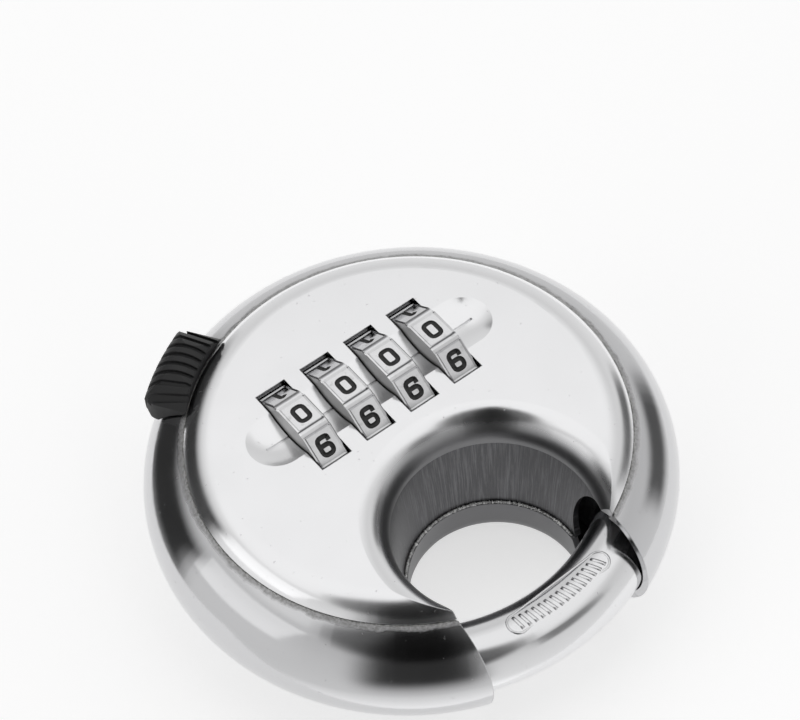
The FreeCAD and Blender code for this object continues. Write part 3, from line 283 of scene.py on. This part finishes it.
class Surface(Sketch):
    """A Principled material and the few node chains that every finish here is made of."""

    def __init__(self, name, colour, roughness, metallic=0.0):
        self.material = bpy.data.materials.new(name)
        self.material.use_nodes = True
        super().__init__(self.material.node_tree)
        self.shader = self.tree.nodes["Principled BSDF"]
        self.shader.inputs["Base Color"].default_value = (*colour, 1)
        self.shader.inputs["Roughness"].default_value = roughness
        self.shader.inputs["Metallic"].default_value = metallic
        self.place = self.add("ShaderNodeTexCoord").outputs["Object"]

    def paint_hollow_shade(self, distance, depth, colour):
        """Painted shade: darken the base colour in corners and gaps nearer than a distance to other
        surfaces.
        """
        node = self.add("ShaderNodeAmbientOcclusion")
        node.samples = 8
        node.inputs["Distance"].default_value = distance
        self.blend_colour(self.spread(node.outputs["AO"], 0.9, 0.25, 0.0, depth), colour)

    def soften(self, radius):
        """Round the sharp edges' shading over a radius."""
        node = self.add("ShaderNodeBevel")
        node.samples = 4
        node.inputs["Radius"].default_value = radius
        self.link(node.outputs[0], self.shader.inputs["Normal"])

    def polar(self, y=0.0):
        """Distance from an axis along Z, angle round it and height, as three sockets."""
        axes = self.split(self.place)
        across, along = axes["X"], self.maths("SUBTRACT", axes["Y"], y)
        squares = self.maths("ADD", self.maths("MULTIPLY", across, across),
                             self.maths("MULTIPLY", along, along))
        return self.maths("SQRT", squares), self.maths("ARCTAN2", along, across), axes["Z"]

    def combine(self, x, y, z):
        node = self.add("ShaderNodeCombineXYZ")
        self.feed(node.inputs, (x, y, z))
        return node.outputs[0]

    def noise(self, scale, detail=3.0, vector=None, rough=0.55):
        node = self.add("ShaderNodeTexNoise")
        node.inputs["Scale"].default_value = scale
        node.inputs["Detail"].default_value = detail
        node.inputs["Roughness"].default_value = rough
        self.link(vector or self.place, node.inputs["Vector"])
        return node.outputs["Fac"]

    def blend_colour(self, factor, other):
        """Mix another colour into the base colour by a factor."""
        mix = self.add("ShaderNodeMix")
        mix.data_type = "RGBA"
        target = self.shader.inputs["Base Color"]
        if target.is_linked:
            self.link(target.links[0].from_socket, mix.inputs[6])
        else:
            mix.inputs[6].default_value = target.default_value
        mix.inputs[7].default_value = (*other, 1)
        self.link(factor, mix.inputs["Factor"])
        self.link(mix.outputs[2], target)

    def roughness(self, value):
        self.link(value, self.shader.inputs["Roughness"])

    def bump(self, height, strength, distance):
        node = self.add("ShaderNodeBump")
        node.inputs["Strength"].default_value = strength
        node.inputs["Distance"].default_value = distance
        self.link(height, node.inputs["Height"])
        target = self.shader.inputs["Normal"]
        if target.is_linked:
            self.link(target.links[0].from_socket, node.inputs["Normal"])
        self.link(node.outputs[0], target)


COVER_EDGE = 28.75 * MM
# Distances from the throat's axis over which the casing steel takes painted shade going into the
# throat.
FRONT_THROAT_SHADE = (13.4 * MM, 15.6 * MM)
REAR_THROAT_SHADE = (12.0 * MM, 14.5 * MM)


def polished_steel(name, colour, roughness, valley=False, throat=None, streaks=0.25):
    """Polished stainless: faint turned streaks, handling smears and specks.

    valley adds the rough band beside the weld, and throat gives the two distances from the
    throat's axis between which the polish ends and painted shade darkens the steel towards the
    throat.
    """
    surface = Surface(name, colour, roughness, metallic=1.0)
    surface.soften(0.16 * MM)
    radius, angle, height = surface.polar()
    lines = surface.combine(
        surface.maths("MULTIPLY", radius, 9000.0),
        surface.maths("MULTIPLY", angle, 3.0),
        surface.maths("MULTIPLY", height, 9000.0),
    )
    streak = surface.noise(1.0, detail=4.0, vector=lines)
    smear = surface.noise(90.0, detail=4.0)
    speck = surface.spread(surface.noise(1500.0, detail=2.0), 0.70, 0.76)
    handled = surface.spread(smear, 0.35, 0.7, roughness * 0.8, roughness * 1.35)
    rough = surface.maths("ADD", handled, surface.maths("MULTIPLY", speck, 0.15))
    surface.blend_colour(surface.maths("MULTIPLY", speck, 0.35), tuple(c * 0.55 for c in colour))
    if valley:
        away = surface.maths("SUBTRACT", radius, COVER_EDGE)
        wander = surface.spread(surface.noise(500.0), 0.3, 0.7, -0.2 * MM, 0.2 * MM)
        ragged = surface.maths("ADD", away, wander)
        near = surface.spread(ragged, 0.85 * MM, 0.45 * MM)
        front = surface.spread(height, MID + 6 * MM, MID + 8 * MM)
        mask = surface.maths("MULTIPLY", near, front)
        grain = surface.noise(2600.0, detail=6.0, rough=0.7)
        rough = surface.maths("ADD", rough, surface.maths("MULTIPLY", mask, 0.35))
        dark = surface.maths("MULTIPLY", mask, surface.spread(grain, 0.38, 0.62, 0.25, 0.8))
        surface.blend_colour(dark, (0.24, 0.235, 0.23))
        surface.bump(surface.maths("MULTIPLY", grain, mask), 0.4, 0.05 * MM)
    if throat:
        inner = surface.spread(surface.polar(THROAT_Y)[0], throat[1], throat[0], smooth=True)
        rough = surface.maths("ADD", rough, surface.maths("MULTIPLY", inner, 0.18))
        # Painted shade: the steel's colour darkens going down into the throat.
        surface.blend_colour(surface.maths("MULTIPLY", inner, 0.88), (0.13, 0.13, 0.134))
    surface.roughness(rough)
    surface.bump(streak, streaks, 0.004 * MM)
    return surface.material


def drawn_steel(name, colour, roughness):
    """The throat's lining: its dark colour is painted shade deep in the throat, with scratches along
    the way it was drawn.
    """
    surface = Surface(name, colour, roughness, metallic=1.0)
    radius, angle, height = surface.polar(THROAT_Y)
    along = surface.combine(
        surface.maths("MULTIPLY", angle, 55.0),
        surface.maths("MULTIPLY", height, 160.0),
        surface.maths("MULTIPLY", radius, 100.0),
    )
    scratch = surface.noise(1.0, detail=6.0, vector=along, rough=0.7)
    marked = surface.spread(scratch, 0.46, 0.66)
    surface.blend_colour(surface.maths("MULTIPLY", marked, 0.6), tuple(c * 2.6 for c in colour))
    surface.roughness(surface.spread(scratch, 0.3, 0.7, roughness * 0.7, roughness * 1.4))
    surface.bump(scratch, 0.35, 0.03 * MM)
    return surface.material


def weld_metal(name, colour):
    """Weld bead: coarse, with darker scale."""
    surface = Surface(name, colour, 0.42, metallic=1.0)
    grain = surface.noise(2500.0, detail=5.0)
    scale = surface.spread(grain, 0.42, 0.62, 0.0, 0.8)
    surface.blend_colour(scale, tuple(c * 0.44 for c in colour))
    surface.roughness(surface.spread(grain, 0.3, 0.7, 0.35, 0.65))
    surface.bump(grain, 0.7, 0.08 * MM)
    return surface.material


def chrome_plate(name):
    """The dials' plating: cloudy, worn in places, and darkened in the corners by painted shade."""
    surface = Surface(name, (0.80, 0.80, 0.81), 0.14, metallic=1.0)
    cloud = surface.noise(260.0, detail=5.0)
    surface.roughness(surface.spread(cloud, 0.3, 0.7, 0.08, 0.24))
    worn = surface.spread(surface.noise(900.0, detail=3.0), 0.58, 0.75, 0.0, 0.35)
    surface.blend_colour(worn, (0.4, 0.4, 0.4))
    surface.bump(surface.noise(1200.0, detail=4.0), 0.25, 0.02 * MM)
    # Painted shade: the plating turns almost black in corners and gaps.
    surface.paint_hollow_shade(1.6 * MM, 0.95, (0.03, 0.03, 0.03))
    return surface.material


def black_plastic(name, roughness=0.5):
    """Moulded plastic with a fine grain."""
    surface = Surface(name, (0.02, 0.02, 0.0205), roughness)
    surface.soften(0.18 * MM)
    surface.shader.inputs["Specular IOR Level"].default_value = 0.4
    grain = surface.noise(3200.0, detail=3.0)
    cloud = surface.noise(140.0, detail=4.0)
    surface.blend_colour(surface.spread(cloud, 0.35, 0.75, 0.0, 0.5), (0.03, 0.03, 0.031))
    surface.roughness(surface.spread(cloud, 0.3, 0.7, roughness * 0.85, roughness * 1.2))
    surface.bump(grain, 0.3, 0.03 * MM)
    return surface.material


def side_metal(name):
    """The wheels' side faces, with painted shade that turns them black where they go down into the
    windows.
    """
    surface = Surface(name, (0.62, 0.62, 0.62), 0.5, metallic=0.35)
    surface.paint_hollow_shade(1.1 * MM, 0.97, (0.02, 0.02, 0.02))
    return surface.material


def digit_paint(name):
    """Dull black paint in the engraved digits."""
    surface = Surface(name, (0.018, 0.018, 0.018), 0.55)
    grain = surface.noise(2600.0, detail=4.0)
    surface.blend_colour(surface.spread(grain, 0.4, 0.7, 0.0, 0.6), (0.06, 0.06, 0.06))
    surface.bump(grain, 0.5, 0.04 * MM)
    return surface.material


def cast_zinc(name):
    """The die-cast core: dark and grainy."""
    surface = Surface(name, (0.10, 0.10, 0.105), 0.6, metallic=0.6)
    grain = surface.noise(1400.0, detail=5.0)
    surface.blend_colour(surface.spread(grain, 0.4, 0.7, 0.0, 0.5), (0.03, 0.03, 0.03))
    surface.bump(grain, 0.5, 0.08 * MM)
    return surface.material


def turned_metal(name, colour, roughness):
    """Small machined parts inside the lock."""
    surface = Surface(name, colour, roughness, metallic=1.0)
    cloud = surface.noise(800.0, detail=5.0)
    surface.roughness(surface.spread(cloud, 0.3, 0.7, roughness * 0.7, roughness * 1.4))
    surface.blend_colour(surface.spread(cloud, 0.5, 0.8, 0.0, 0.4), tuple(c * 0.6 for c in colour))
    surface.bump(cloud, 0.3, 0.02 * MM)
    return surface.material


FINISHES = {
    "front_steel": polished_steel(
        "front_steel", (0.90, 0.90, 0.91), 0.17, throat=FRONT_THROAT_SHADE, streaks=0.12
    ),
    # rim_steel and rear_steel are the same polished stainless as front_steel, given darker colours
    # as painted shade.
    "rim_steel": polished_steel("rim_steel", (0.64, 0.64, 0.65), 0.13, valley=True),
    "rear_steel": polished_steel("rear_steel", (0.60, 0.60, 0.61), 0.20, throat=REAR_THROAT_SHADE),
    # throat_steel's near-black colour is painted shade deep in the throat.
    "throat_steel": drawn_steel("throat_steel", (0.10, 0.10, 0.104), 0.34),
    "shackle_steel": polished_steel("shackle_steel", (0.82, 0.82, 0.83), 0.15),
    "dial_chrome": chrome_plate("dial_chrome"),
    "slider_black": black_plastic("slider_black"),
    "shield_black": black_plastic("shield_black", 0.6),
    "core_zinc": cast_zinc("core_zinc"),
    "brass": turned_metal("brass", (0.72, 0.52, 0.24), 0.3),
    "fixing_steel": turned_metal("fixing_steel", (0.55, 0.55, 0.57), 0.3),
    "spring_steel": turned_metal("spring_steel", (0.45, 0.45, 0.47), 0.3),
}
DIGIT_PAINT = digit_paint("digit_paint")
DIAL_SIDE = side_metal("dial_side")
RIM_WELD = weld_metal("rim_weld", (0.50, 0.50, 0.49))
SEAM_WELD = weld_metal("seam_weld", (0.85, 0.85, 0.84))


def dress_frame():
    """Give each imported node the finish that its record's slot names."""
    slots = {part["node"]: part["material_slot"] for part in frame["record"]["subparts"]}
    for name, node in nodes.items():
        node.data.materials.clear()
        node.data.materials.append(FINISHES[slots[name]])


# Mesh helpers -----------------------------------------------------------------------------------


def new_mesh(name, verts, faces, *materials, smooth=True):
    mesh = bpy.data.meshes.new(name)
    mesh.from_pydata([tuple(v) for v in verts], [], faces)
    mesh.update()
    for material in materials:
        mesh.materials.append(material)
    for polygon in mesh.polygons:
        polygon.use_smooth = smooth
    piece = bpy.data.objects.new(name, mesh)
    bpy.context.collection.objects.link(piece)
    return piece


def ring_faces(rows, columns, closed):
    """Quads between rows of points, each row a loop; closed joins the last row to the first."""
    faces = []
    for i in range(rows if closed else rows - 1):
        for j in range(columns):
            a, b = i * columns + j, i * columns + (j + 1) % columns
            c = ((i + 1) % rows) * columns
            faces.append((a, b, c + (j + 1) % columns, c + j))
    if not closed:
        faces.append(tuple(reversed(range(columns))))
        faces.append(tuple((rows - 1) * columns + j for j in range(columns)))
    return faces


def merged(parts):
    """Several (vertices, faces) parts as one."""
    verts, faces = [], []
    for some_verts, some_faces in parts:
        offset = len(verts)
        verts += some_verts
        faces += [tuple(offset + i for i in face) for face in some_faces]
    return verts, faces


# Dials ------------------------------------------------------------------------------------------

FACETS = 10
FACET_RISE = 8.55 * MM
BAND_DEPTH = 0.16 * MM
LIP = 0.06 * MM
PAD_DEPTH = 0.08 * MM
WHEEL_HALF = 2.1 * MM
BORE = 4.98 * MM
PAD_HALF = 2.2 * MM
DIGIT_HALF_WIDTH = 0.78 * MM
DIGIT_HALF_HEIGHT = 1.15 * MM
STROKE = 0.66 * MM
ENGRAVING = 0.2 * MM
CUTTER_REACH = 0.5 * MM
DIGIT_CORNER = 0.62 * MM
CHAMFER = 0.15 * MM
LIP_WIDTH = 0.2 * MM

STROKES = {
    0: [[(-1, -1), (1, -1), (1, 1), (-1, 1), "closed"]],
    1: [[(-0.6, 0.55), (0.15, 1), (0.15, -1)]],
    2: [[(-1, 0.45), (-1, 1), (1, 1), (1, 0.2), (-1, -1), (1, -1)]],
    3: [[(-1, 0.6), (-1, 1), (0.95, 1), (0.95, 0.05), (-0.3, 0.05)],
        [(0.5, 0.05), (1, 0.05), (1, -1), (-1, -1), (-1, -0.6)]],
    4: [[(0.5, -1), (0.5, 1), (-1, -0.45), (1.05, -0.45)]],
    5: [[(0.9, 1), (-0.9, 1), (-0.9, 0.15), (1, 0.15), (1, -1), (-1, -1), (-1, -0.6)]],
    6: [[(1, 0.6), (1, 1), (-1, 1), (-1, -1), (1, -1), (1, 0.1), (-0.9, 0.1)]],
    7: [[(-1, 1), (1, 1), (-0.1, -1)]],
    8: [[(-0.85, 0.05), (0.85, 0.05), (0.85, 1), (-0.85, 1), "closed"],
        [(-1, -1), (1, -1), (1, 0.05), (-1, 0.05), "closed"]],
    9: [[(-1, -0.6), (-1, -1), (1, -1), (1, 1), (-1, 1), (-1, -0.1), (0.9, -0.1)]],
}


def rounded_path(points, closed, corner):
    """The path with each corner replaced by a short curve."""
    path = []
    count = len(points)
    for i, point in enumerate(points):
        if not closed and i in (0, count - 1):
            path.append(Vector(point))
            continue
        here, before = Vector(point), Vector(points[i - 1])
        after = Vector(points[(i + 1) % count])
        start = here + (before - here).normalized() * min(corner, (before - here).length * 0.5)
        end = here + (after - here).normalized() * min(corner, (after - here).length * 0.5)
        for step in range(5):
            t = step / 4
            path.append(start * (1 - t) ** 2 + here * 2 * t * (1 - t) + end * t * t)
    return path


def stroke_solid(path, closed, width, low, high):
    """A ribbon of a width along a flat path, between two heights: vertices and faces."""
    count = len(path)
    verts = []
    for i, point in enumerate(path):
        before = path[i - 1] if closed or i else point
        after = path[(i + 1) % count] if closed or i < count - 1 else point
        along = (after - before).normalized()
        side = Vector((-along.y, along.x)) * width / 2
        lengthen = Vector((0, 0))
        if not closed and i == 0:
            lengthen = -along * width * 0.4
        if not closed and i == count - 1:
            lengthen = along * width * 0.4
        right, left = point - side + lengthen, point + side + lengthen
        verts += [(*right, low), (*left, low), (*left, high), (*right, high)]
    return verts, ring_faces(count, 4, closed)


def facet_frame(digit):
    """Right, up and outward directions of the facet that carries a digit."""
    turn = Matrix.Rotation(math.radians(-360 / FACETS * digit), 3, "X")
    return turn @ Vector((-1, 0, 0)), turn @ Vector((0, -1, 0)), turn @ Vector((0, 0, 1))


def digit_cutter():
    """All ten digits as solids that reach from above the facets down to the engraving's floor."""
    low, high = FACET_RISE - PAD_DEPTH - ENGRAVING, FACET_RISE + CUTTER_REACH
    parts = []
    for digit, strokes in STROKES.items():
        right, up, out = facet_frame(digit)
        for stroke in strokes:
            closed = stroke[-1] == "closed"
            points = stroke[:-1] if closed else stroke
            corners = [(x * DIGIT_HALF_WIDTH, y * DIGIT_HALF_HEIGHT) for x, y in points]
            path = rounded_path(corners, closed, DIGIT_CORNER)
            solid, quads = stroke_solid(path, closed, STROKE, low, high)
            parts.append(([right * x + up * y + out * z for x, y, z in solid], quads))
    return new_mesh("digit_cutter", *merged(parts), DIGIT_PAINT)


def facet_height(u, v):
    """Height of a facet above the axis at a place on it: a framed pad between sunk bands."""
    edge = WHEEL_HALF - abs(v)
    chamfer = max(0.0, CHAMFER - edge)
    if abs(u) > PAD_HALF + 0.01 * MM:
        return FACET_RISE - BAND_DEPTH - chamfer
    inside = min(PAD_HALF - abs(u), edge - CHAMFER)
    pad = FACET_RISE - PAD_DEPTH if inside > LIP_WIDTH else FACET_RISE + LIP
    return pad - chamfer


def make_wheel():
    """A ten-sided number wheel on the X axis, with engraved and painted digits."""
    corner = (FACET_RISE - BAND_DEPTH) * math.tan(math.pi / FACETS)
    steps_u = (2.25, 2.2, 2.0, 1.94)
    across = [corner] + [s * MM for s in steps_u] + [-s * MM for s in reversed(steps_u)]
    steps_v = (2.1, 1.95, 1.75, 1.69)
    along = [-s * MM for s in steps_v] + [s * MM for s in reversed(steps_v)]
    verts = []
    for digit in range(FACETS):
        right, up, out = facet_frame(digit)
        for u in across:
            loop = [right * v + up * u + out * facet_height(u, v) for v in along]
            bore_out = loop[-1].copy()
            bore_in = loop[0].copy()
            for point, side in ((bore_out, along[-1]), (bore_in, along[0])):
                point.x = 0
                point.normalize()
                point *= BORE
                point.x = -side
            verts += loop + [bore_out, bore_in]
    faces = ring_faces(FACETS * len(across), len(along) + 2, True)
    wheel = new_mesh("wheel", verts, faces, FINISHES["dial_chrome"], smooth=False)
    cutter = digit_cutter()
    for piece in (wheel, cutter):
        fix_normals(piece)
    cut = wheel.modifiers.new("digits", "BOOLEAN")
    cut.operation = "DIFFERENCE"
    cut.solver = "EXACT"
    cut.use_self = True
    cut.material_mode = "TRANSFER"
    cut.object = cutter
    graph = bpy.context.evaluated_depsgraph_get()
    mesh = bpy.data.meshes.new_from_object(wheel.evaluated_get(graph))
    mesh.materials.append(DIAL_SIDE)
    for polygon in mesh.polygons:
        if polygon.material_index == 0 and abs(polygon.normal.x) > 0.95:
            polygon.material_index = len(mesh.materials) - 1
    for piece in (wheel, cutter):
        bpy.data.objects.remove(piece)
    return mesh


def fix_normals(piece):
    work = bmesh.new()
    work.from_mesh(piece.data)
    bmesh.ops.recalc_face_normals(work, faces=work.faces)
    work.to_mesh(piece.data)
    work.free()


def make_dials():
    wheel = make_wheel()
    for number, centre in enumerate(DIAL_CENTRES, start=1):
        mesh = wheel.copy()
        mesh.transform(Matrix.Translation((centre[0], DIAL_AXIS[0], DIAL_AXIS[1])))
        piece = bpy.data.objects.new(f"number_wheel_{number}", mesh)
        bpy.context.collection.objects.link(piece)
        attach(piece, f"dial_{number}")
        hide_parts(f"dial_{number}")


spin = next(j for j in frame["record"]["behaviour"]["joints"] if j["name"] == "dial_1_spin")
DIAL_AXIS = (spin["pos_m"][1], spin["pos_m"][2])


# Weld beads and the raised mark on the bar ------------------------------------------------------


def bead(name, metal, radius, height, start, end, thickness, wobble, y=0.0, steps=900, seed=0.0):
    """A thin irregular ridge along an arc round an axis along Z."""
    verts = []
    sides = 8
    for i in range(steps + 1):
        angle = math.radians(start + (end - start) * i / steps)
        rough = noise.noise(Vector((math.cos(angle) * 60, math.sin(angle) * 60, seed)))
        fine = noise.noise(Vector((math.cos(angle) * 210, math.sin(angle) * 210, seed + 7)))
        size = thickness * (1 + wobble * (rough + 0.7 * fine))
        shift = thickness * 0.3 * wobble * rough
        for j in range(sides):
            turn = 2 * math.pi * j / sides
            bump = 1 + 0.35 * wobble * noise.noise(Vector((i * 0.9, j * 2.3, seed + 3)))
            r = radius + shift + size * bump * math.cos(turn)
            z = height + size * bump * math.sin(turn)
            verts.append((r * math.cos(angle), y + r * math.sin(angle), z))
    return new_mesh(name, verts, ring_faces(steps + 1, sides, False), metal)


def make_weld_beads():
    """The weld round the front cover, and the seam low in the throat."""
    outer = bead(
        "rim_weld", RIM_WELD, radius=28.83 * MM, height=MID + 8.7 * MM, start=-65.4, end=243.6,
        thickness=0.1 * MM, wobble=0.35,
    )
    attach(outer, "casing")
    inner = bead(
        "throat_weld", SEAM_WELD, radius=11.7 * MM, height=MID - 4.8 * MM, start=-6, end=186,
        thickness=0.22 * MM, wobble=0.8, y=THROAT_Y, steps=500, seed=5.0,
    )
    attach(inner, "casing")


PER_DEGREE = RING_RADIUS * math.pi / 180
RIDGE_SECTION = (
    (-1.0, -0.12), (-0.72, 0.55), (-0.3, 0.95), (0.3, 0.95), (0.72, 0.55), (1.0, -0.12), (0.0, -0.5),
)
MARK_START, MARK_END = -103.6, -72.0
MARK_HALF = 1.42 * MM
MARK_RISE = 0.09 * MM
MARK_BORDER = 0.17 * MM
MARK_BARS = 15
MARK_BAR_HALF_WIDTH = 0.26 * MM
MARK_BAR_HALF_LENGTH = 1.0 * MM
MARK_BAR_LEAN = 0.25 * MM


def on_bar(degrees, across, lift):
    """A point on the bar's top: an angle round the disc, a distance across it and a lift."""
    roll = math.pi / 2 - across / BAR_RADIUS
    reach = RING_RADIUS + (BAR_RADIUS + lift) * math.cos(roll)
    rise = (BAR_RADIUS + lift) * math.sin(roll)
    angle = math.radians(degrees)
    return Vector((reach * math.cos(angle), reach * math.sin(angle), MID + rise))


def raised_line(places, closed, half_width, rise):
    """A low rounded ridge on the bar along a line of (degrees, across) places."""
    verts = []
    count = len(places)
    for i, (degrees, across) in enumerate(places):
        before = places[i - 1] if closed or i else places[i]
        after = places[(i + 1) % count] if closed or i < count - 1 else places[i]
        step = Vector(((after[0] - before[0]) * PER_DEGREE, after[1] - before[1]))
        along = step.normalized()
        side = Vector((-along.y, along.x)) * half_width
        for wide, tall in RIDGE_SECTION:
            at = (degrees + side.x * wide / PER_DEGREE, across + side.y * wide)
            verts.append(on_bar(*at, tall * rise))
    return verts, ring_faces(count, len(RIDGE_SECTION), closed)


def make_bar_mark():
    """A plain raised panel on the bar: a round-ended border round a row of slanting bars."""
    cap = MARK_HALF / PER_DEGREE
    border = []
    for centre, first in ((MARK_END - cap, -90), (MARK_START + cap, 90)):
        for step in range(13):
            turn = math.radians(first + 180 * step / 12)
            border.append((centre + cap * math.cos(turn), MARK_HALF * math.sin(turn)))
    parts = [raised_line(border, True, MARK_BORDER, MARK_RISE)]
    lean = MARK_BAR_LEAN / PER_DEGREE
    for i in range(MARK_BARS):
        middle = MARK_START + cap + (MARK_END - MARK_START - 2 * cap) * i / (MARK_BARS - 1)
        bar = [(middle + lean * t, MARK_BAR_HALF_LENGTH * t) for t in (-1, -0.5, 0, 0.5, 1)]
        parts.append(raised_line(bar, False, MARK_BAR_HALF_WIDTH, MARK_RISE))
    mark = new_mesh("bar_mark", *merged(parts), FINISHES["shackle_steel"])
    fix_normals(mark)
    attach(mark, "shackle")


# Scene ------------------------------------------------------------------------------------------

bpy.context.scene.view_settings.view_transform = "Standard"
make_camera(
    CAMERA_AZIMUTH, CAMERA_ELEVATION, CAMERA_ROLL, CAMERA_DISTANCE, CAMERA_LENS, CAMERA_ASIDE,
    CAMERA_DOWN,
)
make_floor()
make_world()
make_light("key", KEY_PLACE, KEY_SIZE, KEY_POWER)
dress_frame()
make_dials()
make_weld_beads()
make_bar_mark()
